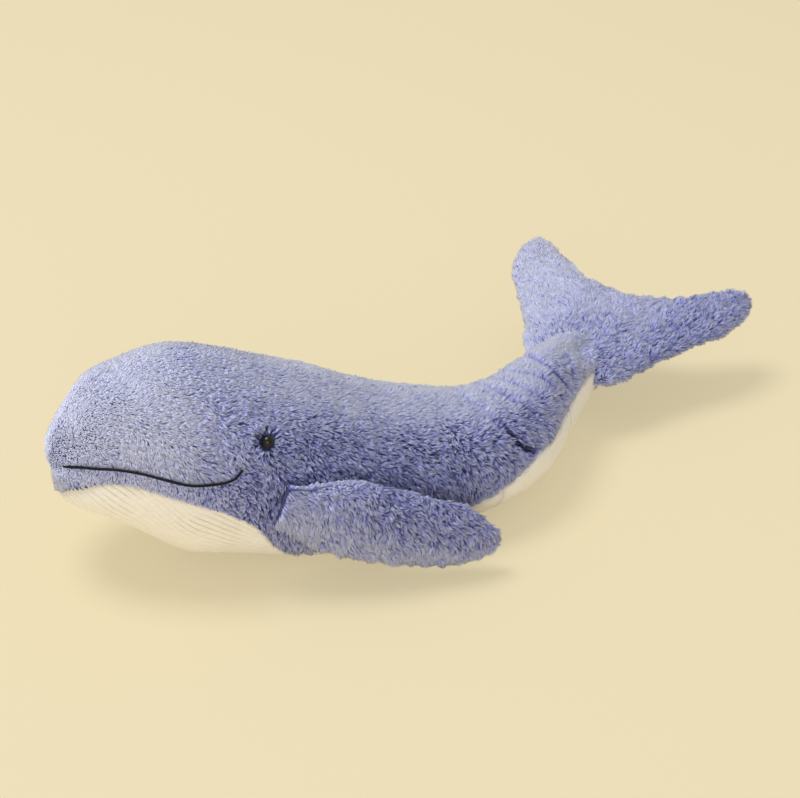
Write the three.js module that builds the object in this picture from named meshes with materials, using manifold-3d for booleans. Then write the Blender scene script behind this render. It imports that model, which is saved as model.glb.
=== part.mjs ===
// A stuffed whale in long-pile plush with a corduroy belly, lying with its tail bent to its right.
// Lengths are millimetres. +Z is up, +X runs from nose to tail, and -Y is the whale's left side.
// The origin is the middle of the flat on which the belly rests.

import * as THREE from "three";
import { mergeVertices } from "three/addons/utils/BufferGeometryUtils.js";
import Module from "manifold-3d";

const wasm = await Module();
wasm.setup();

// Body, along its centre line from the nose to the seam of the flukes
const bodyLength = 430;
const noseToRest = 177;
const headWidth = 134;
const headHeight = 132;
const noseRounding = 46;
const noseBluntShare = 2.3;
const stationShares = [0, 0.08, 0.2, 0.36, 0.52, 0.68, 0.84, 1, 1.12];
const widthShares = [0.68, 0.78, 1, 0.97, 0.8, 0.69, 0.43, 0.315, 0.3];
const topShares = [0.455, 0.48, 0.585, 0.535, 0.39, 0.3, 0.265, 0.17, 0.06];
const bottomShares = [0.15, 0.25, 0.425, 0.42, 0.35, 0.31, 0.27, 0.2, 0.105];
const centreShares = [0.515, 0.575, 0.53, 0.42, 0.36, 0.345, 0.355, 0.37, 0.41];
const lowerPowerShares = [1, 0.95, 0.82, 0.78, 0.8, 0.9, 1, 1, 1];
const restFlatDepth = 0.5;

// Bend of the tail: it turns to the right and rolls its left edge up a little
const bendStart = 236;
const bendEnd = 357;
const tailTurn = THREE.MathUtils.degToRad(47);
const tailRoll = THREE.MathUtils.degToRad(9);

// Cloth, seams and the play between pieces
const plushThickness = 7;
const limbClothThickness = 4;
const corduroyThickness = 3;
const seamGap = 0.4;
const hingeGap = 0.4;
const stuffingGap = 0.4;
const endOpening = 0.5;
const overrun = 6;

// Seam of the belly panel: its half angle from the keel, from the chin to the flukes
const seamShares = [0.004, 0.02, 0.08, 0.16, 0.24, 0.28, 0.31, 0.35, 0.48, 0.62, 0.72, 0.86, 1];
const seamDegrees = [94, 103, 103, 98, 90, 84, 66, 48, 48, 68, 92, 97, 92];

// Tail hinges: how far along the body each axis lies, and the radius of its ball and socket
const bendHingeStation = 248;
const bendHingeRadius = 66;
const swingHingeStation = 315;
const swingHingeRadius = 56;
const flukeHingeSetback = 20;
const flukeHingeRadius = 34;

// Flukes, set back from their seam with the tail
const flukeSpan = 186;
const flukeLength = 113;
const flukeThickness = 25;
const flukeTipRounding = 17;
const flukeRise = THREE.MathUtils.degToRad(9);
const flukeRoll = THREE.MathUtils.degToRad(12);
const flukeSpanShares = [0, 0.32, 0.61, 0.86, 1];
const flukeMiddleShares = [0.25, 0.29, 0.57, 0.795, 0.87];
const flukeChordShares = [0.47, 0.49, 0.36, 0.275, 0.25];
const flukeThicknessShares = [1, 0.96, 0.86, 0.7, 0.55];
const flukeNeckLength = 26;

// Flippers, sewn to the flanks
const flipperStation = 146;
const flipperRootHeight = 67;
const flipperLength = 139;
const flipperWidth = 60;
const flipperThickness = 22;
const flipperTipRounding = 34;
const flipperRootRadius = 8.5;
const flipperGrooveDepth = 3;
const flipperDrop = THREE.MathUtils.degToRad(19);
const flipperSpread = THREE.MathUtils.degToRad(3);
const flipperLengthShares = [0, 0.12, 0.3, 0.5, 0.7, 0.85, 1];
const flipperWidthShares = [0.72, 0.88, 1, 0.97, 0.85, 0.72, 0.6];
const flipperThicknessShares = [0.7, 0.82, 1, 1, 0.92, 0.8, 0.7];

// Face
const eyeStation = 133;
const eyeHeight = 106;
const eyeRadius = 4.5;
const eyeSinkShare = 0.45;
const eyeShankRadius = 1.3;
const eyeShankLength = 16;
const washerRadius = 7;
const washerThickness = 2;
const mouthThreadRadius = 1.1;
const mouthShares = [0, 0.009, 0.018, 0.052, 0.085, 0.12, 0.155, 0.2, 0.236, 0.254, 0.268];
const mouthHeightShares = [0.6, 0.65, 0.685, 0.735, 0.75, 0.74, 0.715, 0.678, 0.67, 0.68, 0.712];

// Bag of pellets in the belly
const bagLength = 110;
const bagWidth = 64;
const bagHeight = 34;
const bagStation = 150;
const bagSinkShare = 0.12;

// How finely the forms are cut
const sideColumns = 8;
const bellyColumns = 7;
const limbColumns = 10;
const limbRows = 8;
const bladeRows = 6;
const noseRows = 3;
const trunkRows = 11;
const tailFrontRows = 7;
const tailRearRows = 8;
const neckRows = 2;
const rowGrowth = 1.5;
const tipGrowth = 2;
const hingeFacets = 32;
const turnedFacets = 12;
const bagFacets = 9;
const threadFacets = 6;
const threadSteps = 24;
const spineSteps = 260;
const nudgeShare = 0.001;
const leastLean = THREE.MathUtils.degToRad(1);

const xAxis = new THREE.Vector3(1, 0, 0);
const yAxis = new THREE.Vector3(0, 1, 0);
const zAxis = new THREE.Vector3(0, 0, 1);
const crownAngle = Math.PI / 2;
const keelAngle = -Math.PI / 2;

// A smooth curve through a table of places and values, with no overshoot between them
function smoothTable(places, values) {
  const slopes = places.map((place, i) => {
    if (i === 0 || i === places.length - 1) return 0;
    const before = (values[i] - values[i - 1]) / (place - places[i - 1]);
    const after = (values[i + 1] - values[i]) / (places[i + 1] - place);
    return before * after > 0 ? (2 * before * after) / (before + after) : 0;
  });
  return (place) => {
    const found = places.findIndex((next, i) => i > 0 && place < next);
    const i = found < 0 ? places.length - 2 : found - 1;
    const width = places[i + 1] - places[i];
    const t = THREE.MathUtils.clamp((place - places[i]) / width, 0, 1);
    const start = (1 + 2 * t) * (1 - t) ** 2 * values[i] + t * (1 - t) ** 2 * width * slopes[i];
    return start + t ** 2 * (3 - 2 * t) * values[i + 1] + t ** 2 * (t - 1) * width * slopes[i + 1];
  };
}

function sizeTable(shares, length, values, size) {
  return smoothTable(shares.map((share) => share * length), values.map((value) => value * size));
}

// How far a form has swollen to its full section at a distance from its closed end
function roundedEnd(distance, rounding, power) {
  const short = 1 - Math.min(distance / rounding, 1);
  return (1 - short ** power) ** (1 / power);
}

// The distance from a closed end at which the form reaches a share of its full section
function distanceOf(share, rounding, power) {
  return rounding * (1 - (1 - share ** power) ** (1 / power));
}

function steps(from, to, count, growth = 1) {
  return Array.from({ length: count + 1 }, (_, i) => from + (to - from) * (i / count) ** growth);
}

// Body surface
const halfWidthAt = sizeTable(stationShares, bodyLength, widthShares, headWidth / 2);
const topAt = sizeTable(stationShares, bodyLength, topShares, headHeight);
const bottomAt = sizeTable(stationShares, bodyLength, bottomShares, headHeight);
const centreAt = sizeTable(stationShares, bodyLength, centreShares, headHeight);
const lowerPowerAt = sizeTable(stationShares, bodyLength, lowerPowerShares, 1);
const seamAngleAt = sizeTable(seamShares, bodyLength, seamDegrees, Math.PI / 180);
const noseSwell = (station) => roundedEnd(station, noseRounding, noseBluntShare);

// How far the lowest columns of the belly have to be moved so that the flat is cut from them
const keelHeights = steps(0, bendHingeStation, spineSteps).map((station) => {
  const lowest = Math.cos(seamAngleAt(station) / bellyColumns) ** lowerPowerAt(station);
  return centreAt(station) - lowest * bottomAt(station) * noseSwell(station);
});
const restLift = -Math.min(...keelHeights) - restFlatDepth;

function spineDirection(station) {
  const turned = tailTurn * THREE.MathUtils.smoothstep(station, bendStart, bendEnd);
  return new THREE.Vector3(Math.cos(turned), Math.sin(turned), 0);
}

const flukeHingeStation = bodyLength + flukeHingeSetback;
const neckEnd = flukeHingeStation + flukeNeckLength;
const spineStep = (neckEnd + overrun) / spineSteps;
const spine = [new THREE.Vector3(-noseToRest, 0, 0)];
for (let i = 0; i < spineSteps; i++) {
  const direction = spineDirection((i + 0.5) * spineStep);
  spine.push(spine[i].clone().addScaledVector(direction, spineStep));
}

// The middle of the section at a station, with its directions along, to the right and up
function frameAt(station) {
  const i = THREE.MathUtils.clamp(Math.floor(station / spineStep), 0, spineSteps - 1);
  const centre = spine[i].clone().lerp(spine[i + 1], station / spineStep - i);
  centre.addScaledVector(zAxis, centreAt(station) + restLift);
  const along = spineDirection(station);
  const roll = tailRoll * THREE.MathUtils.smoothstep(station, bendStart, bendEnd);
  const side = zAxis.clone().cross(along).applyAxisAngle(along, -roll);
  return { centre, along, side, up: along.clone().cross(side) };
}

// The angle runs from the right side over the crown to the left side and the keel
function bodyPoint(station, angle) {
  const { centre, side, up } = frameAt(station);
  const [cos, sin] = [Math.cos(angle), Math.sin(angle)];
  const power = sin < 0 ? lowerPowerAt(station) : 1;
  const height = sin < 0 ? bottomAt(station) : topAt(station);
  const across = Math.sign(cos) * Math.abs(cos) ** power * halfWidthAt(station);
  const rise = Math.sign(sin) * Math.abs(sin) ** power * height;
  const swell = noseSwell(station);
  return centre.addScaledVector(side, across * swell).addScaledVector(up, rise * swell);
}

function bodyNormal(station, angle) {
  const nudge = Math.min(station, noseRounding) * nudgeShare;
  const along = bodyPoint(station + nudge, angle).sub(bodyPoint(station - nudge, angle));
  const around = bodyPoint(station, angle + nudgeShare).sub(bodyPoint(station, angle - nudgeShare));
  return around.cross(along).normalize();
}

function underBody(station, angle, depth) {
  return bodyPoint(station, angle).addScaledVector(bodyNormal(station, angle), -depth);
}

// The angle that a length along the surface spans
function angleOf(length, station, angle) {
  const ahead = bodyPoint(station, angle + nudgeShare);
  return (2 * nudgeShare * length) / ahead.distanceTo(bodyPoint(station, angle - nudgeShare));
}

// The angle on the right side at which the surface has a height above the floor
function angleAtHeight(station, height) {
  const rise = height - restLift - centreAt(station);
  const reach = (rise > 0 ? topAt(station) : bottomAt(station)) * noseSwell(station);
  return Math.asin(THREE.MathUtils.clamp(rise / reach, -1, 1));
}

// Solids
function geometryOf(points, faces) {
  const geometry = new THREE.BufferGeometry().setFromPoints(points);
  geometry.setIndex(faces);
  return geometry;
}

function solidOf(geometry) {
  const bare = new THREE.BufferGeometry().setAttribute("position", geometry.getAttribute("position"));
  bare.setIndex(geometry.getIndex());
  const merged = mergeVertices(bare);
  const vertProperties = merged.getAttribute("position").array;
  const triVerts = new Uint32Array(merged.getIndex().array);
  return new wasm.Manifold(new wasm.Mesh({ numProp: 3, vertProperties, triVerts }));
}

function cut(solid, ...cutters) {
  return cutters.reduce((left, cutter) => left.subtract(cutter), solid);
}

function block(centre, directions, size) {
  const geometry = new THREE.BoxGeometry(size, size, size);
  geometry.applyMatrix4(new THREE.Matrix4().makeBasis(...directions).setPosition(centre));
  return solidOf(geometry);
}

function stand(geometry, base, axis) {
  geometry.applyQuaternion(new THREE.Quaternion().setFromUnitVectors(yAxis, axis));
  return solidOf(geometry.translate(base.x, base.y, base.z));
}

function rod(middle, axis, radius, length, facets) {
  return stand(new THREE.CylinderGeometry(radius, radius, length, facets), middle, axis);
}

// A closed sheet of cloth under the body's surface: outer face, inner face and the walls of its rim
function clothSheet(stations, anglesAt, outerDepth, innerDepth) {
  const angles = stations.map(anglesAt);
  const grid = (depth) => stations.flatMap((station, row) =>
    angles[row].map((angle) => underBody(station, angle, depth)));
  const points = [...grid(outerDepth), ...grid(innerDepth)];
  const rows = stations.length - 1;
  const columns = angles[0].length - 1;
  const outer = (row, column) => row * (columns + 1) + column;
  const inner = (row, column) => points.length / 2 + outer(row, column);
  const faces = [];
  const leans = (row, column) => angles[row + 1][column] - angles[row][column] > leastLean;
  const quad = (leaning, a, b, c, d) =>
    faces.push(...(leaning ? [a, b, d, b, c, d] : [a, b, c, a, c, d]));
  for (let r = 0; r < rows; r++) {
    for (let c = 0; c < columns; c++) {
      quad(leans(r, c), outer(r, c), outer(r, c + 1), outer(r + 1, c + 1), outer(r + 1, c));
      quad(leans(r, c), inner(r, c), inner(r + 1, c), inner(r + 1, c + 1), inner(r, c + 1));
    }
    quad(leans(r, 0), outer(r, 0), outer(r + 1, 0), inner(r + 1, 0), inner(r, 0));
    const [near, far] = [[r, columns], [r + 1, columns]];
    quad(leans(...near), outer(...far), outer(...near), inner(...near), inner(...far));
  }
  for (let c = 0; c < columns; c++) {
    quad(false, outer(0, c + 1), outer(0, c), inner(0, c), inner(0, c + 1));
    quad(false, outer(rows, c), outer(rows, c + 1), inner(rows, c + 1), inner(rows, c));
  }
  return solidOf(geometryOf(points, faces));
}

// A closed form through rings of points, with a fan over each end
function tube(rings) {
  const columns = rings[0].length;
  const last = rings.length - 1;
  const middle = (ring) =>
    ring.reduce((sum, point) => sum.add(point), new THREE.Vector3()).divideScalar(columns);
  const points = [...rings.flat(), middle(rings[0]), middle(rings[last])];
  const [startCap, endCap] = [points.length - 2, points.length - 1];
  const faces = [];
  for (let c = 0; c < columns; c++) {
    const next = (c + 1) % columns;
    for (let r = 0; r < last; r++) {
      const [a, b] = [r * columns + c, r * columns + next];
      faces.push(a, b, b + columns, a, b + columns, a + columns);
    }
    faces.push(startCap, next, c, endCap, last * columns + c, last * columns + next);
  }
  return solidOf(geometryOf(points, faces));
}

// A hinge across a stuffed form: a socket cut in the piece before it, a ball left on the one after
function hinge(pivot, along, axis, radius) {
  const reach = bodyLength;
  const before = pivot.clone().addScaledVector(along, -reach / 2);
  const ahead = block(before, [along, axis.clone().cross(along), axis], reach);
  const socket = rod(pivot, axis, radius, reach, hingeFacets);
  const ball = rod(pivot, axis, radius - hingeGap, reach, hingeFacets);
  return { socket, ball, pastBall: ahead.subtract(ball) };
}

const bendFrame = frameAt(bendHingeStation);
const swingFrame = frameAt(swingHingeStation);
const flukeFrame = frameAt(flukeHingeStation);
const bendHinge = hinge(bendFrame.centre, bendFrame.along, bendFrame.side, bendHingeRadius);
const swingHinge = hinge(swingFrame.centre, swingFrame.along, swingFrame.up, swingHingeRadius);
const flukeHinge = hinge(flukeFrame.centre, flukeFrame.along, flukeFrame.side, flukeHingeRadius);
const floor = block(new THREE.Vector3(0, 0, -bodyLength), [xAxis, yAxis, zAxis], 2 * bodyLength);

// Panels of one length of the body. Across each cover lie its columns from the keel to the crown,
// and the belly panel fills an opening cut through both
const chinStation = seamShares[0] * bodyLength;

function rightAngles(station) {
  const start = keelAngle + angleOf(seamGap / 2, station, keelAngle);
  return steps(start, crownAngle - angleOf(seamGap / 2, station, crownAngle), sideColumns);
}

const leftAngles = (station) => rightAngles(station).map((angle) => Math.PI - angle).reverse();
const ringAngles = () => steps(keelAngle, keelAngle + 2 * Math.PI, 2 * sideColumns).slice(1);

// The belly panel's columns, reaching past the line of its seam or drawn in from it
function bellyAngles(reach) {
  return (station) => {
    const seam = seamAngleAt(station);
    const half = seam + angleOf(reach, station, keelAngle + seam);
    return steps(keelAngle - half, keelAngle + half, bellyColumns);
  };
}

function bodyForm(stations, depth) {
  return tube(stations.map((station) =>
    ringAngles().map((angle) => underBody(station, angle, depth))));
}

function bodyPieces(stations, ...cutters) {
  const belly = stations.filter((station) => station >= chinStation);
  const [underCovers, underBelly] = [plushThickness + stuffingGap, corduroyThickness + stuffingGap];
  const opening = (reach) => clothSheet(
    [belly[0] - reach, ...belly.slice(1)], bellyAngles(reach), -overrun, underCovers + overrun);
  const layer = (from, to) => clothSheet(belly, bellyAngles(seamGap), from, to);
  const bellyStuffing = layer(underBelly, underCovers + overrun / 2).intersect(opening(-stuffingGap));
  const made = {
    cover_left: cut(clothSheet(stations, leftAngles, 0, plushThickness), opening(seamGap / 2)),
    cover_right: cut(clothSheet(stations, rightAngles, 0, plushThickness), opening(seamGap / 2)),
    belly_panel: layer(0, corduroyThickness).intersect(opening(-seamGap / 2)),
    stuffing: bodyForm(stations, underCovers).add(bellyStuffing),
  };
  return Object.fromEntries(
    Object.entries(made).map(([name, solid]) => [name, cut(solid, ...cutters)]));
}

const noseShare = (2 * endOpening) / (headWidth * widthShares[0]);
const noseStart = distanceOf(noseShare, noseRounding, noseBluntShare);
const noseStations = steps(noseStart, chinStation, noseRows, noseBluntShare);
const trunkStations = [
  ...noseStations.slice(0, -1),
  ...steps(chinStation, bendHingeStation, trunkRows, rowGrowth),
];
const tailFrontStart = bendHingeStation - bendHingeRadius - overrun;
const tailFrontStations = steps(tailFrontStart, swingHingeStation, tailFrontRows);
const tailRearStart = swingHingeStation - swingHingeRadius - overrun;
const tailRearStations = steps(tailRearStart, flukeHingeStation, tailRearRows);
const neckStart = flukeHingeStation - flukeHingeRadius - overrun;
const neckStations = steps(neckStart, neckEnd, neckRows);

const trunk = bodyPieces(trunkStations, bendHinge.socket, floor);
const tailFront = bodyPieces(tailFrontStations, bendHinge.pastBall, swingHinge.socket, floor);
const tailRear = bodyPieces(tailRearStations, swingHinge.pastBall, flukeHinge.socket, floor);

// A limb under its own surface: flattened rings about a straight or bent middle line
function limbForm(limb, depth) {
  return tube(limb.places(depth).map((place) => {
    const swell = limb.swell(place, depth);
    return steps(0, 2 * Math.PI * (1 - 1 / limbColumns), limbColumns - 1).map((angle) =>
      limb.middle(place)
        .addScaledVector(limb.across, (limb.halfWidth(place) - depth) * swell * Math.cos(angle))
        .addScaledVector(limb.through, (limb.halfDepth(place) - depth) * swell * Math.sin(angle)));
  }));
}

// Two panels of cloth that meet in a seam round the edge of a limb, and the stuffing between them
function limbPieces(formAt, middle, directions) {
  const shell = formAt(0).subtract(formAt(limbClothThickness));
  const halfBlock = (side) => {
    const centre = middle.clone().addScaledVector(directions[2], side * (bodyLength - seamGap) / 2);
    return block(centre, directions, bodyLength);
  };
  return {
    first: cut(shell, halfBlock(-1)),
    second: cut(shell, halfBlock(1)),
    stuffing: formAt(limbClothThickness + stuffingGap),
  };
}

// Flukes: one blade from tip to tip on a short neck
const halfSpan = flukeSpan / 2;
const blade = frameAt(bodyLength);
blade.back = blade.along.clone().applyAxisAngle(blade.side, -flukeRise);
blade.side.applyAxisAngle(blade.back, flukeRoll);
blade.rise = blade.back.clone().cross(blade.side);
const bladeMiddleAt = sizeTable(flukeSpanShares, halfSpan, flukeMiddleShares, flukeLength);
const bladeChordAt = sizeTable(flukeSpanShares, halfSpan, flukeChordShares, flukeLength);
const bladeDepthAt = sizeTable(flukeSpanShares, halfSpan, flukeThicknessShares, flukeThickness / 2);
const bladeLimb = {
  across: blade.back.clone().negate(),
  through: blade.rise,
  middle: (place) => blade.centre.clone().addScaledVector(blade.side, place)
    .addScaledVector(blade.back, bladeMiddleAt(Math.abs(place))),
  halfWidth: (place) => bladeChordAt(Math.abs(place)),
  halfDepth: (place) => bladeDepthAt(Math.abs(place)),
  swell: (place, depth) => roundedEnd(halfSpan - depth - Math.abs(place), flukeTipRounding, 2),
  places(depth) {
    const tip = halfSpan - depth - distanceOf(endOpening / flukeThickness, flukeTipRounding, 2);
    const half = steps(tip, 0, bladeRows, tipGrowth);
    return [...half.slice(0, -1).map((place) => -place), ...half.reverse()];
  },
};

function flukeForm(depth) {
  const neck = bodyForm(neckStations.map((station) => station - depth), depth);
  return limbForm(bladeLimb, depth).add(neck);
}

const flukes = limbPieces(flukeForm, blade.centre, [blade.back, blade.side, blade.rise]);

// Flippers
const flipperWidthAt = sizeTable(flipperLengthShares, flipperLength, flipperWidthShares, flipperWidth / 2);
const flipperDepthAt = sizeTable(
  flipperLengthShares, flipperLength, flipperThicknessShares, flipperThickness / 2);
const mirrored = (angle, side) => (side > 0 ? angle : Math.PI - angle);
const flankForm = bodyForm(trunkStations, -seamGap);

function flipperAt(side) {
  const angle = mirrored(angleAtHeight(flipperStation, flipperRootHeight), side);
  const pivot = bodyPoint(flipperStation, angle);
  pivot.addScaledVector(yAxis, side * (flipperRootRadius - flipperGrooveDepth));
  const level = xAxis.clone().applyAxisAngle(zAxis, side * flipperSpread);
  const sideways = zAxis.clone().cross(level);
  const along = level.applyAxisAngle(sideways, flipperDrop);
  const chord = along.clone().cross(sideways);
  const limb = {
    across: chord,
    through: along.clone().cross(chord),
    middle: (place) => pivot.clone().addScaledVector(along, place),
    halfWidth: flipperWidthAt,
    halfDepth: flipperDepthAt,
    swell: (place, depth) => roundedEnd(flipperLength - depth - place, flipperTipRounding, 2),
    places(depth) {
      const tip = flipperLength - depth - distanceOf(endOpening / flipperWidth, flipperTipRounding, 2);
      return steps(tip, -flipperRootRadius - overrun, limbRows, tipGrowth).reverse();
    },
  };
  const { socket, ball, pastBall } = hinge(pivot, along, chord, flipperRootRadius);
  const pieces = limbPieces((depth) => limbForm(limb, depth), pivot, [along, chord, limb.through]);
  const fitted = (piece) => cut(piece, pastBall, cut(flankForm, ball), floor);
  return {
    groove: socket,
    outer: fitted(side < 0 ? pieces.first : pieces.second),
    inner: fitted(side < 0 ? pieces.second : pieces.first),
    stuffing: fitted(pieces.stuffing),
  };
}

// Eyes: a bead on a shank through the cover, held by a washer behind it
function eyeProfile(play) {
  const [radius, shank] = [eyeRadius + play, eyeShankRadius + play];
  const backAngle = -Math.asin(eyeSinkShare);
  const dome = steps(backAngle, Math.PI / 2, turnedFacets / 2).map((angle) =>
    new THREE.Vector2(radius * Math.cos(angle), radius * Math.sin(angle)));
  dome[dome.length - 1].x = 0;
  const foot = -eyeShankLength - play;
  return [
    new THREE.Vector2(0, foot),
    new THREE.Vector2(shank, foot),
    new THREE.Vector2(shank, radius * Math.sin(backAngle)),
    ...dome,
  ];
}

function eyeAt(side) {
  const angle = mirrored(angleAtHeight(eyeStation, eyeHeight), side);
  const base = bodyPoint(eyeStation, angle);
  const outward = bodyNormal(eyeStation, angle);
  const turned = (play) => stand(new THREE.LatheGeometry(eyeProfile(play), turnedFacets), base, outward);
  const washerDepth = plushThickness + seamGap + washerThickness / 2;
  const pocketLength = eyeShankLength + seamGap - plushThickness;
  const washerMiddle = base.clone().addScaledVector(outward, -washerDepth);
  const pocketMiddle = base.clone().addScaledVector(outward, -plushThickness - pocketLength / 2);
  return {
    bead: turned(0),
    hole: turned(seamGap),
    washer: cut(rod(washerMiddle, outward, washerRadius, washerThickness, turnedFacets), turned(seamGap)),
    pocket: rod(pocketMiddle, outward, washerRadius + seamGap, pocketLength, turnedFacets),
  };
}

// Mouth: a thread on the covers that runs from cheek to cheek round the nose
function mouthThread() {
  const heightAt = sizeTable(mouthShares, bodyLength, mouthHeightShares, headHeight);
  const noseRise = heightAt(0) - restLift - centreAt(0);
  const start = distanceOf(noseRise / topAt(0), noseRounding, noseBluntShare);
  const end = mouthShares[mouthShares.length - 1] * bodyLength;
  const side = steps(start, end, threadSteps, tipGrowth).map((station) => {
    const angle = angleAtHeight(station, heightAt(station));
    return underBody(station, angle, -mouthThreadRadius - seamGap);
  });
  side[0].y = 0;
  const left = side.slice(1).map((point) => new THREE.Vector3(point.x, -point.y, point.z));
  const path = new THREE.CatmullRomCurve3([...left.reverse(), ...side], false, "centripetal");
  const round = steps(0, 2 * Math.PI * (1 - 1 / threadFacets), threadFacets - 1).map((angle) =>
    new THREE.Vector2(Math.cos(angle), Math.sin(angle)).multiplyScalar(mouthThreadRadius));
  return new THREE.ExtrudeGeometry(new THREE.Shape(round), { steps: 2 * threadSteps, extrudePath: path });
}

// Bag of pellets, on the belly panel inside the stuffing
function bagForm(play) {
  const geometry = new THREE.SphereGeometry(1, 2 * bagFacets, bagFacets);
  geometry.scale(bagLength / 2 + play, bagWidth / 2 + play, bagHeight / 2 + play);
  geometry.translate(bagStation - noseToRest, 0, bagHeight * (1 / 2 - bagSinkShare));
  return solidOf(geometry);
}

const whale = new THREE.Group();

function addPiece(name, solid, color, roughness) {
  const made = solid.getMesh();
  const geometry = new THREE.BufferGeometry();
  geometry.setAttribute("position", new THREE.BufferAttribute(made.vertProperties, made.numProp));
  geometry.setIndex(new THREE.BufferAttribute(made.triVerts, 1));
  geometry.computeVertexNormals();
  const mesh = new THREE.Mesh(geometry, new THREE.MeshStandardMaterial({ color, roughness }));
  mesh.name = name;
  whale.add(mesh);
}

const plush = [0x8f94c4, 0.95];
const corduroy = [0xefe4cb, 0.9];
const fibre = [0xf4f2ec, 1];
const bagCloth = [0xd8d2c4, 0.9];
const blackPlastic = [0x0b0b10, 0.1];
const clearPlastic = [0xe6e6e2, 0.4];
const darkThread = [0x1d2036, 0.7];

const eyes = { left: eyeAt(-1), right: eyeAt(1) };
const flippers = { left: flipperAt(-1), right: flipperAt(1) };
for (const side of ["left", "right"]) {
  const { hole, pocket } = eyes[side];
  trunk["cover_" + side] = cut(trunk["cover_" + side], hole, pocket, flippers[side].groove);
}
const bag = trunk.stuffing.intersect(bagForm(0));
const grooves = [flippers.left.groove, flippers.right.groove];
trunk.stuffing = cut(trunk.stuffing, bagForm(stuffingGap), eyes.left.pocket, eyes.right.pocket, ...grooves);

for (const [name, pieces] of Object.entries({ trunk, tail_front: tailFront, tail_rear: tailRear })) {
  addPiece(name + "_cover_left", pieces.cover_left, ...plush);
  addPiece(name + "_cover_right", pieces.cover_right, ...plush);
  addPiece(name + "_belly_panel", pieces.belly_panel, ...corduroy);
  addPiece(name + "_stuffing", pieces.stuffing, ...fibre);
}
for (const [side, flipper] of Object.entries(flippers)) {
  addPiece("flipper_" + side + "_outer_panel", flipper.outer, ...plush);
  addPiece("flipper_" + side + "_inner_panel", flipper.inner, ...plush);
  addPiece("flipper_" + side + "_stuffing", flipper.stuffing, ...fibre);
}
for (const [side, eye] of Object.entries(eyes)) {
  addPiece("eye_" + side, eye.bead, ...blackPlastic);
  addPiece("eye_washer_" + side, eye.washer, ...clearPlastic);
}
addPiece("fluke_upper_panel", cut(flukes.first, flukeHinge.pastBall), ...plush);
addPiece("fluke_under_panel", cut(flukes.second, flukeHinge.pastBall), ...plush);
addPiece("fluke_stuffing", cut(flukes.stuffing, flukeHinge.pastBall), ...fibre);
addPiece("pellet_bag", bag, ...bagCloth);
addPiece("mouth_thread", solidOf(mouthThread()), ...darkThread);

export default whale;
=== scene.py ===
"""Looks of the plush whale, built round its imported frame. Lengths are millimetres until a mesh is made."""

import math

import bpy
import numpy as np
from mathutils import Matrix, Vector
from mathutils.kdtree import KDTree


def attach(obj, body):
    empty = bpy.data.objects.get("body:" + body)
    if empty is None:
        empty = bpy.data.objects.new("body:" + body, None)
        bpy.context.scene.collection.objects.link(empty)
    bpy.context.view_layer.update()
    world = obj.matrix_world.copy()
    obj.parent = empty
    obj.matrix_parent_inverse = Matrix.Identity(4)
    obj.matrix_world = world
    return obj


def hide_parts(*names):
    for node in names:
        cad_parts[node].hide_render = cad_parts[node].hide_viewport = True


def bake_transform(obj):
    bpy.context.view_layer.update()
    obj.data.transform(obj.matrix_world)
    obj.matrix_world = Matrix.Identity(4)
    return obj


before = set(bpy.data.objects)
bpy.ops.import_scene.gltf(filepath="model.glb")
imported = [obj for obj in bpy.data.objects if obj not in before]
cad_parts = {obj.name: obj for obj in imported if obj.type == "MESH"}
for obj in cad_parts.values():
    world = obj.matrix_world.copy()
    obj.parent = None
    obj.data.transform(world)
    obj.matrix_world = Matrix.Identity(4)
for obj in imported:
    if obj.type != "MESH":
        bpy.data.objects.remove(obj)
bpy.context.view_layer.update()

MM = 0.001
rng = np.random.default_rng(20)
rad = np.radians
SIDES = (("left", -1), ("right", 1))
CROWN = math.pi / 2

# Sizes that the solids have too
BODY_LENGTH, NOSE_TO_REST = 430, 177
HEAD_WIDTH, HEAD_HEIGHT = 134, 132
NOSE_ROUNDING, NOSE_BLUNT = 46, 2.3
BEND_START, BEND_END = 236, 357
TAIL_TURN, TAIL_ROLL = rad(47), rad(9)
FLUKE_SPAN, FLUKE_LENGTH, FLUKE_THICKNESS = 186, 113, 25
FLUKE_TIP, FLUKE_RISE, FLUKE_ROLL, FLUKE_SETBACK, FLUKE_NECK = 17, rad(9), rad(12), 20, 26
FLIPPER_STATION, FLIPPER_HEIGHT = 146, 67
FLIPPER_LENGTH, FLIPPER_WIDTH, FLIPPER_THICKNESS, FLIPPER_TIP = 139, 60, 22, 34
FLIPPER_ROOT, FLIPPER_GROOVE = 8.5, 3
FLIPPER_DROP, FLIPPER_SPREAD = rad(19), rad(3)
EYE_STATION, EYE_HEIGHT, EYE_RADIUS = 133, 106, 4.5
SPINE_STEPS, SPINE_OVERRUN = 260, 6
REST_CUT, BEND_HINGE, BELLY_COLUMNS = 0.5, 248, 7
NECK_END = BODY_LENGTH + FLUKE_SETBACK + FLUKE_NECK
HALF_SPAN = FLUKE_SPAN / 2
MOUTH_END = 0.268 * BODY_LENGTH
CHIN = 0.004 * BODY_LENGTH
BELLY_END = BODY_LENGTH - 10


def smooth_table(places, values):
    """A smooth curve through a table, with no overshoot."""
    x, y = np.array(places, float), np.array(values, float)
    rise = np.diff(y) / np.diff(x)
    slope = np.zeros(len(x))
    product = rise[:-1] * rise[1:]
    same = product > 0
    slope[1:-1][same] = 2 * product[same] / (rise[:-1] + rise[1:])[same]

    def at(place):
        i = np.clip(np.searchsorted(x, place, side="right") - 1, 0, len(x) - 2)
        w = x[i + 1] - x[i]
        t = np.clip((place - x[i]) / w, 0, 1)
        start = (1 + 2 * t) * (1 - t) ** 2 * y[i] + t * (1 - t) ** 2 * w * slope[i]
        return start + t**2 * (3 - 2 * t) * y[i + 1] + t**2 * (t - 1) * w * slope[i + 1]

    return at


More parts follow.
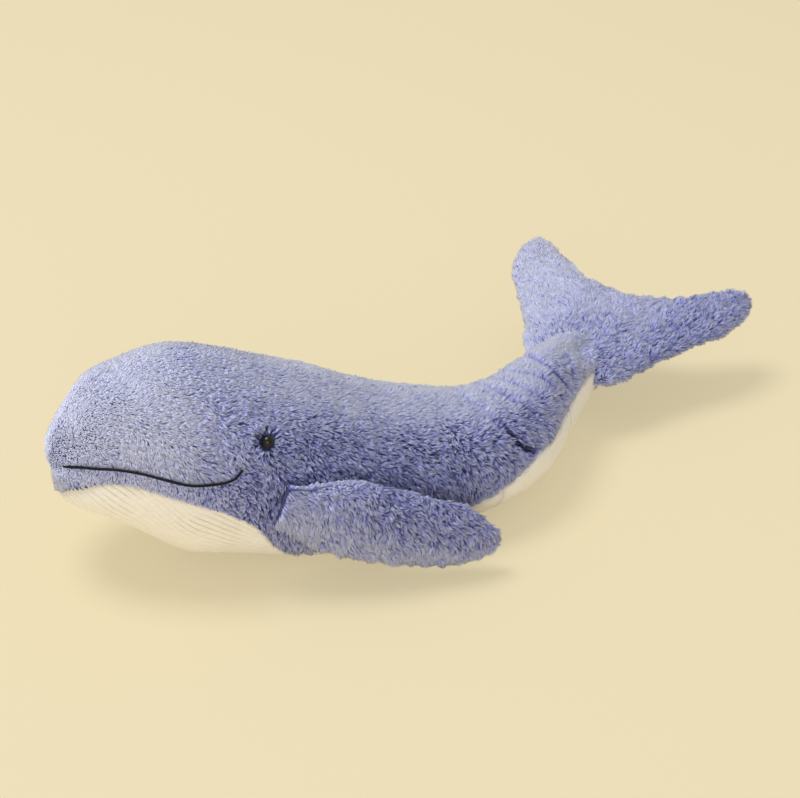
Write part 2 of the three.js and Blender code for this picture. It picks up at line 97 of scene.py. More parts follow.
def table(shares, length, values, size):
    return smooth_table(np.array(shares) * length, np.array(values) * size)


def along_body(values, size):
    return table([0, 0.08, 0.2, 0.36, 0.52, 0.68, 0.84, 1, 1.12], BODY_LENGTH, values, size)


def along_lobe(values, size):
    return table([0, 0.32, 0.61, 0.86, 1], HALF_SPAN, values, size)


def along_flipper(values, size):
    return table([0, 0.12, 0.3, 0.5, 0.7, 0.85, 1], FLIPPER_LENGTH, values, size)


half_width = along_body([0.68, 0.78, 1, 0.97, 0.8, 0.69, 0.43, 0.315, 0.3], HEAD_WIDTH / 2)
top_height = along_body([0.455, 0.48, 0.585, 0.535, 0.39, 0.3, 0.265, 0.17, 0.06], HEAD_HEIGHT)
low_height = along_body([0.15, 0.25, 0.425, 0.42, 0.35, 0.31, 0.27, 0.2, 0.105], HEAD_HEIGHT)
centre_height = along_body([0.515, 0.575, 0.53, 0.42, 0.36, 0.345, 0.355, 0.37, 0.41], HEAD_HEIGHT)
low_power = along_body([1, 0.95, 0.82, 0.78, 0.8, 0.9, 1, 1, 1], 1)
seam_angle = table(
    [0.004, 0.02, 0.08, 0.16, 0.24, 0.28, 0.31, 0.35, 0.48, 0.62, 0.72, 0.86, 1], BODY_LENGTH,
    [94, 103, 103, 98, 90, 84, 66, 48, 48, 68, 92, 97, 92], math.pi / 180)
mouth_height = table(
    [0, 0.009, 0.018, 0.052, 0.085, 0.12, 0.155, 0.2, 0.236, 0.254, 0.268], BODY_LENGTH,
    [0.6, 0.65, 0.685, 0.735, 0.75, 0.74, 0.715, 0.678, 0.67, 0.68, 0.712], HEAD_HEIGHT)
fluke_middle = along_lobe([0.25, 0.29, 0.57, 0.795, 0.87], FLUKE_LENGTH)
fluke_chord = along_lobe([0.47, 0.49, 0.36, 0.275, 0.25], FLUKE_LENGTH)
fluke_depth = along_lobe([1, 0.96, 0.86, 0.7, 0.55], FLUKE_THICKNESS / 2)
flipper_width = along_flipper([0.72, 0.88, 1, 0.97, 0.85, 0.72, 0.6], FLIPPER_WIDTH / 2)
flipper_depth = along_flipper([0.7, 0.82, 1, 1, 0.92, 0.8, 0.7], FLIPPER_THICKNESS / 2)


def rounded_end(distance, rounding, power):
    """The share of its full size that a form has at a distance from its rounded end."""
    short = 1 - np.clip(np.asarray(distance, float) / rounding, 0, 1)
    return (1 - short**power) ** (1 / power)


def nose_share(s):
    return rounded_end(s, NOSE_ROUNDING, NOSE_BLUNT)


def ease(x, low, high):
    """From 0 at low to 1 at high, level at both."""
    t = np.clip((np.asarray(x, float) - low) / (high - low), 0, 1)
    return t * t * (3 - 2 * t)


def unit(v):
    return v / np.maximum(np.linalg.norm(v, axis=-1, keepdims=True), 1e-12)


def turned(v, axis, angle):
    """v turned about axis, row by row."""
    angle = np.asarray(angle, float)[..., None]
    c, s = np.cos(angle), np.sin(angle)
    return v * c + np.cross(axis, v) * s + axis * np.sum(axis * v, -1, keepdims=True) * (1 - c)


# The body's centre line and surface
keel_stations = np.linspace(0, BEND_HINGE, SPINE_STEPS + 1)
keel_share = np.cos(seam_angle(keel_stations) / BELLY_COLUMNS) ** low_power(keel_stations)
keel = centre_height(keel_stations) - keel_share * low_height(keel_stations) * nose_share(keel_stations)
REST_LIFT = -keel.min() - REST_CUT
SPINE_STEP = (NECK_END + SPINE_OVERRUN) / SPINE_STEPS
spine_turn = TAIL_TURN * ease((np.arange(SPINE_STEPS) + 0.5) * SPINE_STEP, BEND_START, BEND_END)
spine_at = np.arange(SPINE_STEPS + 1) * SPINE_STEP
spine_x = -NOSE_TO_REST + np.concatenate([[0], np.cumsum(np.cos(spine_turn) * SPINE_STEP)])
spine_y = np.concatenate([[0], np.cumsum(np.sin(spine_turn) * SPINE_STEP)])


def body_frame(s):
    """The middle of the section at each station, with its directions along, to the right and up."""
    s = np.asarray(s, float)
    turn = TAIL_TURN * ease(s, BEND_START, BEND_END)
    zero = np.zeros_like(s)
    centre = np.stack([np.interp(s, spine_at, spine_x), np.interp(s, spine_at, spine_y),
                       centre_height(s) + REST_LIFT], -1)
    along = np.stack([np.cos(turn), np.sin(turn), zero], -1)
    side = np.stack([-np.sin(turn), np.cos(turn), zero], -1)
    side = turned(side, along, -TAIL_ROLL * ease(s, BEND_START, BEND_END))
    return centre, along, side, np.cross(along, side)


def frame_at(s):
    return tuple(x[0] for x in body_frame(np.array([float(s)])))


def body_point(s, a):
    """The angle runs from the right side over the crown to the left side and the keel."""
    s, a = np.broadcast_arrays(np.asarray(s, float), np.asarray(a, float))
    centre, _, side, up = body_frame(s)
    c, d = np.cos(a), np.sin(a)
    power = np.where(d < 0, low_power(s), 1)
    height = np.where(d < 0, low_height(s), top_height(s))
    swell = nose_share(s)
    across = np.sign(c) * np.abs(c) ** power * half_width(s) * swell
    rise = np.sign(d) * np.abs(d) ** power * height * swell
    return centre + side * across[..., None] + up * rise[..., None]


SMALL_TURN, SMALL_STEP = 1e-3, 1e-2


def surface(point, u, v, du, dv):
    """Point, outward normal and the two directions of a surface at u and v."""
    pu = point(u + du, v) - point(u - du, v)
    pv = point(u, v + dv) - point(u, v - dv)
    return point(u, v), unit(np.cross(pv, pu)), unit(pu), unit(pv)


def body_surface(s, a):
    s, a = np.broadcast_arrays(np.asarray(s, float), np.asarray(a, float))
    return surface(body_point, s, a, np.minimum(s, NOSE_ROUNDING) * 1e-3, SMALL_TURN)


def angle_at_height(s, z):
    """The angle at which the right side of the body reaches a height."""
    rise = z - REST_LIFT - centre_height(s)
    reach = np.where(rise > 0, top_height(s), low_height(s)) * nose_share(s)
    return np.arcsin(np.clip(rise / reach, -1, 1))


# Smooth noise from waves of mixed directions
def waves(seed):
    draw = np.random.default_rng(seed)
    directions = unit(draw.normal(size=(14, 3))) * draw.uniform(0.6, 1.5, (14, 1))
    return directions, draw.uniform(0, 6.283, 14)


WAVES = [waves(seed) for seed in range(8)]


def noise(p, size, which):
    """Smooth noise of about unit spread, with swells about size apart."""
    directions, phases = WAVES[which]
    total = np.zeros(len(p))
    for direction, phase in zip(directions, phases):
        total += np.sin(p @ direction * (2 * math.pi / size) + phase)
    return total / math.sqrt(len(phases) / 2)


def nearest(p, line):
    """Which point of a line is nearest to each point of p."""
    tree = KDTree(len(line))
    for i, q in enumerate(line):
        tree.insert(Vector(q), i)
    tree.balance()
    return np.array([tree.find(Vector(q))[1] for q in p])


def distances(p, line):
    """How far each point of p is from a line, the way away from it, and the share of the line there."""
    near = nearest(p, line)
    away = p - line[near]
    return np.linalg.norm(away, axis=1), away, near / (len(line) - 1)


# Creases of the tail: stations, angles in degrees, and depth
CREASE_WIDTH, CREASE_POINTS = 2.4, 60
CREASES = [
    ([286, 290, 294, 299, 303], [126, 142, 158, 168, 176], 4.4),
    ([366, 357, 354, 354, 358], [64, 92, 112, 132, 156], 4.4),
    ([388, 380, 373, 366], [108, 126, 146, 166], 4.6),
    ([272, 276, 281, 284], [70, 92, 116, 132], 1.8),
    ([298, 300, 304, 310], [66, 92, 116, 138], 2.0),
    ([318, 316, 318, 324], [60, 88, 112, 134], 2.2),
    ([336, 333, 335, 340], [54, 84, 110, 134], 2.4),
    ([296, 298, 300], [-10, 20, 56], 2.6),
    ([322, 321, 322], [-16, 14, 50], 3.0),
    ([346, 345, 347], [-10, 16, 44], 2.6),
]


def line_on_body(stations, degrees):
    """Points of a smooth line on the body through places given by station and angle."""
    t = np.linspace(0, 1, CREASE_POINTS)
    places = np.linspace(0, 1, len(stations))
    return body_point(smooth_table(places, stations)(t), rad(smooth_table(places, degrees)(t)))


crease_lines = [(line_on_body(stations, degrees), depth) for stations, degrees, depth in CREASES]


def close_to(p, line, reach):
    """Which points lie in the box round a line."""
    return np.all((p > line.min(0) - reach) & (p < line.max(0) + reach), axis=1)


def crease_depth(p):
    """How far the cloth is drawn in at each point."""
    total = np.zeros(len(p))
    for line, depth in crease_lines:
        near = close_to(p, line, 3 * CREASE_WIDTH)
        if near.any():
            gap, _, share = distances(p[near], line)
            taper = np.sqrt(np.sin(math.pi * np.clip(share, 0.01, 0.99)))
            total[near] = np.maximum(total[near], depth * taper * np.exp(-((gap / CREASE_WIDTH) ** 2)))
    return total


# Pile of the body: lengths, and leans in degrees
PILE_LENGTH, HEAD_SHORTER, TAIL_SHORTER, LIP_CUT, NOSE_CUT = 6.6, 0.9, 0.5, 0.42, 0.2
PILE_LEAN, HEAD_LEAN, TAIL_LEAN, NOSE_UPRIGHT = 36, 22, 12, 0.75
BACKING_GAP = 0.3


def from_top(a):
    """0 at the crown, 0.7 at the flanks and 1 at the keel."""
    return np.abs(np.sin((a - CROWN) / 2))


def body_pile(s, a):
    """Length and lean of the pile, and where it is the lip under the mouth."""
    smooth_head = (1 - ease(s, 95, 170)) * (1 - 0.35 * ease(from_top(a), 0.5, 0.8))
    length = PILE_LENGTH - HEAD_SHORTER * smooth_head - TAIL_SHORTER * ease(s, 300, 400)
    lean = rad(PILE_LEAN + HEAD_LEAN * smooth_head + TAIL_LEAN * ease(s, 300, 400))
    mouth_a = angle_at_height(np.minimum(s, MOUTH_END), mouth_height(np.minimum(s, MOUTH_END)))
    below = np.abs(a - CROWN) - (CROWN - mouth_a)
    lip = ease(below, -0.02, 0.06) * (1 - ease(s, 112, 145))
    length = length * (1 - LIP_CUT * lip)
    nose = 1 - ease(s, 0.3, 2.5)
    return length * (1 - NOSE_CUT * nose), lean * (1 - NOSE_UPRIGHT * nose), lip


def body_roughness(s, a):
    """How tousled the pile is, from nearly 0 on the smooth head to 1 on the flanks."""
    side = from_top(a)
    head = (1 - ease(s, 60, 145)) * (1 - 0.4 * ease(side, 0.35, 0.75))
    # A smooth crown also makes its pile paler in locks, as painted light on the top of the body
    crown = (1 - ease(side, 0.14, 0.45)) * 0.7
    tail = 0.4 * ease(s, 300, 380) + 0.25 * ease(s, 385, 430)
    return np.clip(1 - np.maximum(np.maximum(head, crown), tail), 0.08, 1)


def root_depth(length, lean):
    """Lets the pile end just outside the surface that the solids have."""
    return length * (0.55 * np.cos(0.6 * lean) + 0.45 * np.cos(1.3 * lean)) - 0.2


LIP_SWELL, SWELL_BEHIND, SWELL_HEIGHT, SWELL_UP = 3.8, 13, 88, 16


def nose_swell(p):
    """How much further the pile stands out over the upper lip."""
    x, z = p[:, 0] + NOSE_TO_REST, p[:, 2]
    return LIP_SWELL * ease(z, 73, 85) \
        * np.exp(-((x / SWELL_BEHIND) ** 2) - ((z - SWELL_HEIGHT) / SWELL_UP) ** 2)


NECK_SINK, NEAR_SINK = 12, 9


def neck_sink(s, a):
    """How much deeper the pile lies where the top of the tail runs into the flukes."""
    from_seam = math.pi - seam_angle(s) - np.abs(a - CROWN)
    near_side = NEAR_SINK * ease(s, 376, 412) * ease(-np.cos(a), -0.3, 0.6) * ease(from_seam, 0.15, 0.9)
    return np.maximum(NECK_SINK * ease(s, 408, 454) * ease(np.sin(a), -0.7, 0.3), near_side)


def pile_depth(s, a, p, drawn, extra=0.0):
    """How deep the roots lie below the surface that the solids have."""
    length, lean, _ = body_pile(s, a)
    return root_depth(length, lean) + extra + drawn - nose_swell(p) + neck_sink(s, a)


def skin_of_body(s, a):
    """The backing of the pile."""
    shape = s.shape
    s, a = s.ravel(), a.ravel()
    p, n, _, _ = body_surface(s, a)
    depth = pile_depth(s, a, p, crease_depth(p), BACKING_GAP)
    return (p - n * depth[:, None]).reshape(shape + (3,))


# Meshes
def placed(name, data):
    made = bpy.data.objects.new(name, data)
    bpy.context.scene.collection.objects.link(made)
    return made


def point_values(mesh, label, values):
    mesh.attributes.new(label, "FLOAT", "POINT").data.foreach_set("value", values.astype(np.float32))


def mesh_object(name, points, faces, material):
    mesh = bpy.data.meshes.new(name)
    corners = (np.asarray(points).reshape(-1, 3) * MM).tolist()
    mesh.from_pydata(corners, [], [list(map(int, f)) for f in faces])
    mesh.validate()
    mesh.update()
    mesh.polygons.foreach_set("use_smooth", np.ones(len(mesh.polygons), bool))
    mesh.materials.append(material)
    return placed(name, mesh)


def grid_faces(rows, columns, wrap=False, start=0, flip=False):
    r, c = np.meshgrid(np.arange(rows - 1), np.arange(columns if wrap else columns - 1), indexing="ij")
    a = start + r * columns + c
    b = start + r * columns + (c + 1) % columns
    quads = np.stack([a, b, b + columns, a + columns], -1).reshape(-1, 4)
    return (quads[:, ::-1] if flip else quads).tolist()


def closed_tube(name, rings, material, flip=True):
    """A form through rings of points, with a fan over each end."""
    rows, columns = rings.shape[:2]
    points = np.concatenate([rings.reshape(-1, 3), rings[0].mean(0)[None], rings[-1].mean(0)[None]])
    faces = grid_faces(rows, columns, wrap=True, flip=flip)
    first, last = rows * columns, rows * columns + 1
    for c in range(columns):
        n = (c + 1) % columns
        start, end = [first, n, c], [last, (rows - 1) * columns + c, (rows - 1) * columns + n]
        faces += [start[::-1], end[::-1]] if flip else [start, end]
    return mesh_object(name, points, faces, material)


def slab(name, outer, inner, rows, columns, material):
    """A cloth with two faces and a closed edge all round."""
    under = rows * columns
    faces = grid_faces(rows, columns, flip=True) + grid_faces(rows, columns, start=under)
    edges = [(r * columns + c, (r + 1) * columns + c, flip)
             for r in range(rows - 1) for c, flip in ((0, False), (columns - 1, True))]
    edges += [(r * columns + c, r * columns + c + 1, flip)
              for c in range(columns - 1) for r, flip in ((0, True), (rows - 1, False))]
    for a, b, flip in edges:
        quad = [a, b, b + under, a + under]
        faces.append(quad[::-1] if flip else quad)
    return mesh_object(name, np.concatenate([outer, inner]), faces, material)


# Materials
def srgb(r, g, b):
    return tuple(((c / 255 + 0.055) / 1.055) ** 2.4 if c > 10 else c / 255 / 12.92 for c in (r, g, b)) + (1,)


def set_inputs(node, values):
    for label, value in values.items():
        node.inputs[label].default_value = value
    return node


def new_material(name, roughness):
    material = bpy.data.materials.new(name)
    material.use_nodes = True
    nodes, links = material.node_tree.nodes, material.node_tree.links
    shader = set_inputs(nodes["Principled BSDF"], {"Roughness": roughness})
    return material, nodes, links, shader


def ramp(nodes, links, source, stops):
    made = nodes.new("ShaderNodeValToRGB")
    elements = made.color_ramp.elements
    while len(elements) < len(stops):
        elements.new(0.5)
    for element, (place, *colour) in zip(elements, stops):
        element.position = place
        element.color = srgb(*colour)
    links.new(source, made.inputs["Fac"])
    return made.outputs["Color"]


def grain(nodes, scale, detail=2.0):
    node = set_inputs(nodes.new("ShaderNodeTexNoise"), {"Scale": scale, "Detail": detail})
    return node.outputs["Fac"]


def attribute(nodes, name):
    node = nodes.new("ShaderNodeAttribute")
    node.attribute_name = name
    return node.outputs["Fac"]


def multiplied(nodes, links, a, b):
    node = nodes.new("ShaderNodeMix")
    node.data_type = "RGBA"
    node.blend_type = "MULTIPLY"
    node.inputs[0].default_value = 1.0
    links.new(a, node.inputs[6])
    links.new(b, node.inputs[7])
    return node.outputs[2]


def fur_material():
    """Dark at the roots as painted shade deep in the pile and pale at the tips, with a tone for each lock
    that also carries painted light and shade.
    """
    material, nodes, links, shader = new_material("long_pile_blue", 0.75)
    along = ramp(nodes, links, attribute(nodes, "along"), [
        (0.0, 24, 27, 78), (0.35, 92, 97, 162), (0.6, 184, 189, 236), (1.0, 240, 242, 254)])
    tone = ramp(nodes, links, attribute(nodes, "tone"), [
        (0.0, 62, 65, 122), (0.45, 194, 198, 240), (0.85, 255, 255, 255)])
    links.new(multiplied(nodes, links, along, tone), shader.inputs["Base Color"])
    set_inputs(shader, {"Sheen Weight": 0.5, "Sheen Roughness": 0.5, "Specular IOR Level": 0.2})
    return material


def mottled(name, roughness, low, high, scale):
    """A plain material between two close colours."""
    material, nodes, links, shader = new_material(name, roughness)
    colour = ramp(nodes, links, grain(nodes, scale), [(0.3, *low), (0.7, *high)])
    links.new(colour, shader.inputs["Base Color"])
    return material, shader


def corduroy_material():
    material, nodes, links, shader = new_material("corduroy_cream", 0.9)
    fibres = grain(nodes, 1400, 3)
    base = ramp(nodes, links, grain(nodes, 55, 4), [
        (0.3, 252, 240, 222), (0.55, 255, 249, 236), (0.75, 255, 252, 244)])
    # The grooves between the ribs are painted darker, as painted shade in them
    groove = ramp(nodes, links, attribute(nodes, "groove"), [
        (0.0, 255, 255, 255), (0.5, 246, 240, 228), (1.0, 216, 203, 180)])
    fine = ramp(nodes, links, fibres, [(0.3, 238, 238, 238), (0.7, 255, 255, 255)])
    colour = multiplied(nodes, links, multiplied(nodes, links, base, groove), fine)
    links.new(colour, shader.inputs["Base Color"])
    bump = set_inputs(nodes.new("ShaderNodeBump"), {"Strength": 0.5, "Distance": 0.4 * MM})
    links.new(fibres, bump.inputs["Height"])
    links.new(bump.outputs["Normal"], shader.inputs["Normal"])
    set_inputs(shader, {"Sheen Weight": 0.2})
    return material


def eye_material():
    material, shader = mottled("eye_gloss", 0.16, (4, 4, 7), (8, 8, 12), 300)
    set_inputs(shader, {"Specular IOR Level": 0.3, "Coat Weight": 0.15, "Coat Roughness": 0.04})
    return material


def thread_material():
    material, shader = mottled("dark_thread", 0.6, (4, 5, 20), (12, 13, 36), 1800)
    set_inputs(shader, {"Specular IOR Level": 0.2})
    return material


PILE = fur_material()
# The backing is painted dark, as painted shade where it shows between the locks
BACKING, _ = mottled("pile_backing", 0.95, (44, 48, 88), (70, 74, 120), 900)
CORDUROY, EYE, THREAD = corduroy_material(), eye_material(), thread_material()

# Locks of pile: each a tapered curved strand of three sides, in clumps that lean together
LOCK_SHARES = np.array([0.0, 0.55, 1.0])
LOCK_WIDTHS = np.array([0.8, 1.0])
LOCK_LEANS = np.array([0.6, 1.3])
LOCK_WIDTH, CLUMP_SIZE = 0.34, 1.75
CLUMP_SWING, LOCK_SWING, CLUMP_LEAN, LOCK_LEAN = rad(22), rad(9), rad(9), rad(5)
DENSITY = 2.3
WIDTH_SCALE = 1.0
LOCK_POINTS, LOCK_CORNERS = 7, 21
LOCK_FACES = [(j, (j + 1) % 3, 3 + (j + 1) % 3, 3 + j) for j in range(3)] \
    + [(3 + j, 3 + (j + 1) % 3, 6) for j in range(3)]
LOCK_STARTS = np.array([0, 4, 8, 12, 15, 18])
LOCK_UV = np.array([[0.2 + 0.3 * j, t] for t in (0.1, 0.5) for j in range(3)] + [[0.5, 0.9]])


def scatter(point, u_range, v_low, v_high, density, cells=(70, 130)):
    """Places spread evenly by area over a patch of a surface."""
    u = np.linspace(*u_range, cells[0] + 1)
    share = np.linspace(0, 1, cells[1] + 1)
    low, high = v_low(u), v_high(u)
    uu = np.repeat(u[:, None], cells[1] + 1, 1)
    vv = low[:, None] + share[None] * (high - low)[:, None]
    p = point(uu.ravel(), vv.ravel()).reshape(uu.shape + (3,))
    one = np.cross(p[1:, 1:] - p[:-1, :-1], p[1:, :-1] - p[:-1, 1:])
    area = 0.5 * np.linalg.norm(one, axis=-1).ravel()
    count = int(area.sum() * density)
    edges = np.concatenate([[0], np.cumsum(area)]) / area.sum()
    pick = (np.arange(count) + rng.uniform(0, 1, count)) / count
    cell = np.clip(np.searchsorted(edges, pick, side="right") - 1, 0, len(area) - 1)
    i, j = cell // cells[1], cell % cells[1]
    fu, fv = rng.uniform(0, 1, count), rng.uniform(0, 1, count)
    su = u[i] + fu * (u[i + 1] - u[i])
    sv = (j + fv) / cells[1]
    return su, v_low(su) + sv * (v_high(su) - v_low(su))


def steady(angle):
    """An edge of a patch that stays at one angle."""
    return lambda place: np.full_like(place, angle)


def lock_lines(root, normal, comb, length, lean):
    """Root, middle and tip of each lock."""
    line = [root]
    for k in range(2):
        step = length * (LOCK_SHARES[k + 1] - LOCK_SHARES[k])
        angle = np.minimum(lean * LOCK_LEANS[k], rad(100))
        way = normal * np.cos(angle)[:, None] + comb * np.sin(angle)[:, None]
        line.append(line[-1] + way * step[:, None])
    return np.stack(line, 1)


def lock_points(line, side):
    """Two rings of three points and a tip round the line of each lock."""
    n = len(line)
    phase = rng.uniform(0, 2 * math.pi, n)
    wide = LOCK_WIDTH * WIDTH_SCALE * rng.uniform(0.75, 1.25, n)
    points = np.empty((n, LOCK_POINTS, 3))
    for k in range(2):
        ahead = unit(line[:, k + 1] - line[:, k])
        lift = unit(np.cross(side, ahead))
        for j in range(3):
            turn = phase + j * 2 * math.pi / 3
            away = side * np.cos(turn)[:, None] + lift * np.sin(turn)[:, None]
            points[:, 3 * k + j] = line[:, k] + away * (wide * LOCK_WIDTHS[k])[:, None]
    points[:, 6] = line[:, 2]
    return points


def lock_mesh(name, points, along, tone):
    """One mesh of all locks of a patch, each with a cell of the UV map of its own."""
    n = len(points)
    corners = np.array([v for face in LOCK_FACES for v in face])
    loops = (np.arange(n)[:, None] * LOCK_POINTS + corners[None]).ravel()
    starts = (np.arange(n)[:, None] * LOCK_CORNERS + LOCK_STARTS[None]).ravel()
    mesh = bpy.data.meshes.new(name)
    mesh.vertices.add(n * LOCK_POINTS)
    mesh.vertices.foreach_set("co", (points * MM).astype(np.float32).ravel())
    mesh.loops.add(len(loops))
    mesh.loops.foreach_set("vertex_index", loops.astype(np.int32))
    mesh.polygons.add(len(starts))
    mesh.polygons.foreach_set("loop_start", starts.astype(np.int32))
    mesh.polygons.foreach_set("use_smooth", np.ones(len(starts), bool))
    point_values(mesh, "along", along)
    point_values(mesh, "tone", tone)
    across = math.ceil(math.sqrt(n))
    cell = 1.0 / across
    base = np.stack([(np.arange(n) % across) * cell, (np.arange(n) // across) * cell], -1)
    uv = (base[:, None] + LOCK_UV[None] * cell).reshape(-1, 2)
    layer = mesh.uv_layers.new(name="OFBake")
    layer.data.foreach_set("uv", uv[loops].astype(np.float32).ravel())
    mesh.update(calc_edges=True)
    mesh.validate()
    mesh.materials.append(PILE)
    made = placed(name, mesh)
    return made


def locks(name, root, normal, comb, length, lean, rough, painted_shade):
    """The pile of one patch. comb lies in the surface, and the locks lean along it."""
    n = len(root)
    seeds = rng.choice(n, max(2, int(n / (DENSITY * CLUMP_SIZE**2))), replace=False)
    owner = nearest(root, root[seeds])
    draw = rng.normal(0, 1, (len(seeds), 3))[owner]
    swing = (draw[:, 0] * CLUMP_SWING + rng.normal(0, LOCK_SWING, n)) * (0.25 + 0.75 * rough)
    comb = unit(turned(comb, normal, swing))
    lean = lean + (draw[:, 1] * CLUMP_LEAN + rng.normal(0, LOCK_LEAN, n)) * (0.4 + 0.6 * rough)
    length = length * (1 + (0.07 * draw[:, 2] + 0.05 * rng.normal(0, 1, n)) * (0.4 + 0.6 * rough))
    line = lock_lines(root, normal, comb, length, lean)
    offset = line[seeds[owner], 2] - line[:, 2]
    far = np.linalg.norm(offset, axis=1, keepdims=True)
    offset *= np.minimum(1, 0.7 * CLUMP_SIZE / np.maximum(far, 1e-6))
    pull = (0.15 + 0.65 * rough) * rng.uniform(0.6, 1.1, n)
    line = line + offset[:, None] * (LOCK_SHARES[None, :, None] ** 1.6) * pull[:, None, None]
    points = lock_points(line, unit(np.cross(comb, normal)))
    # Smooth pile is painted paler, with paler roots and a lighter tone, and tousled pile darker with more
    # dark locks: partly the lie of the pile, partly painted light on the crown and head top and painted shade
    # on the flanks and cheeks
    calm = 1 - rough[:, None]
    along = np.repeat(LOCK_SHARES, [3, 3, 1])[None]
    along = (along + calm * (1 - along) * 0.54).ravel()
    dark = rng.uniform(0, 1, n) < 0.03 + 0.23 * rough
    tone = 0.88 - 0.28 * rough + (0.05 + 0.12 * rough) * (draw[:, 2] + rng.normal(0, 1, n)) - 0.5 * dark
    return lock_mesh(name, points, along, np.repeat(np.clip(tone - painted_shade, 0, 1), LOCK_POINTS))


# Places on the face
def eye_place(sign):
    """The middle of an eye on the surface, and the way that it looks."""
    angle = float(angle_at_height(np.array(EYE_STATION), EYE_HEIGHT))
    angle = angle if sign > 0 else math.pi - angle
    p, n, _, _ = body_surface(np.array([EYE_STATION], float), np.array([angle]))
    return p[0], n[0]


def mouth_stations(start, front, rest):
    """Stations of the mouth line from the nose to the cheek, closer together over the front."""
    return np.concatenate([np.linspace(start, 6, front), np.linspace(7, MOUTH_END, rest)])


eye_places = {side_name: eye_place(sign) for side_name, sign in SIDES}
mouth_s = mouth_stations(0.2, 14, 60)
mouth_right = body_point(mouth_s, angle_at_height(mouth_s, mouth_height(mouth_s)))
mouth_line = np.concatenate([mouth_right, mouth_right * [1, -1, 1]])

# Pile of the body
EYE_HOLE = 4.2
# Painted shade: how much darker the pile is painted in the tail's creases and low on the sides of the head
CREASE_PAINTED_SHADE, CHEEK_PAINTED_SHADE = 0.2, 0.09
SEAM_POINTS, SEAM_LENGTH, FLIPPER_ROWS = 30, 62, (100, 200)


def seam_turn(s):
    return np.where(s < CHIN, 0, seam_angle(s)) * (s < BELLY_END)


def fur_edges(side):
    """The angles of one side's edges by station: the belly seam and the crown, lower angle first."""
    if side > 0:
        return lambda s: -CROWN + seam_turn(s), steady(CROWN)
    return steady(CROWN), lambda s: 1.5 * math.pi - seam_turn(s)


def laid_along(way, n):
    """A way laid into the surface."""
    return unit(way - n * np.sum(way * n, 1)[:, None])


def spread_from(comb, n, away, near, weight):
    """Combs the pile away from a place, as far as near says."""
    return unit(comb * (1 - near)[:, None] + laid_along(away, n) * (weight * near)[:, None] + 1e-9)


def combed_back(a, p, n, ts, ta, lip, hem, tuck, rough):
    """The way that the pile lies: back along the crown and down over the flanks."""
    down = ta * np.where(a > CROWN, 1, -1)[:, None]
    sideways = rad(10) + rad(58) * ease(np.abs(a - CROWN), 0.15, 1.6) + rad(20) * lip
    comb = unit(ts * np.cos(sideways)[:, None] + down * np.sin(sideways)[:, None])
    comb = unit(comb * (1 - 0.75 * hem)[:, None] + ts * (0.9 * hem)[:, None])
    comb = turned(comb, n, tuck * (rad(34) * noise(p, 9, 6) + rad(20) * noise(p, 4, 7)))
    return turned(comb, n, rad(18) * noise(p, 34, 0) + rad(14) * rough * noise(p, 11, 1))


def flipper_seam(sign):
    """The line where the outside of a flipper meets the flank: up its front end and along its upper edge."""
    turns = np.linspace(0.9 * math.pi, 0, SEAM_POINTS) * (1 if flipper_frame(sign)[3][1] * sign > 0 else -1)
    front = flipper_point(sign, np.full(SEAM_POINTS, 0.0), turns)
    upper = flipper_point(sign, np.linspace(0, SEAM_LENGTH, 2 * SEAM_POINTS), np.zeros(2 * SEAM_POINTS))
    return np.concatenate([front, upper])


def over_flipper(p, side):
    """Where longer pile falls over the seam of the flipper."""
    gap, away, share = distances(p, flipper_seam(side))
    outside = ease(away[:, 2] - away[:, 0], 0, 2)
    return (1 - ease(gap, 2, 10)) * (1 - ease(share, 0.75, 1)) * outside


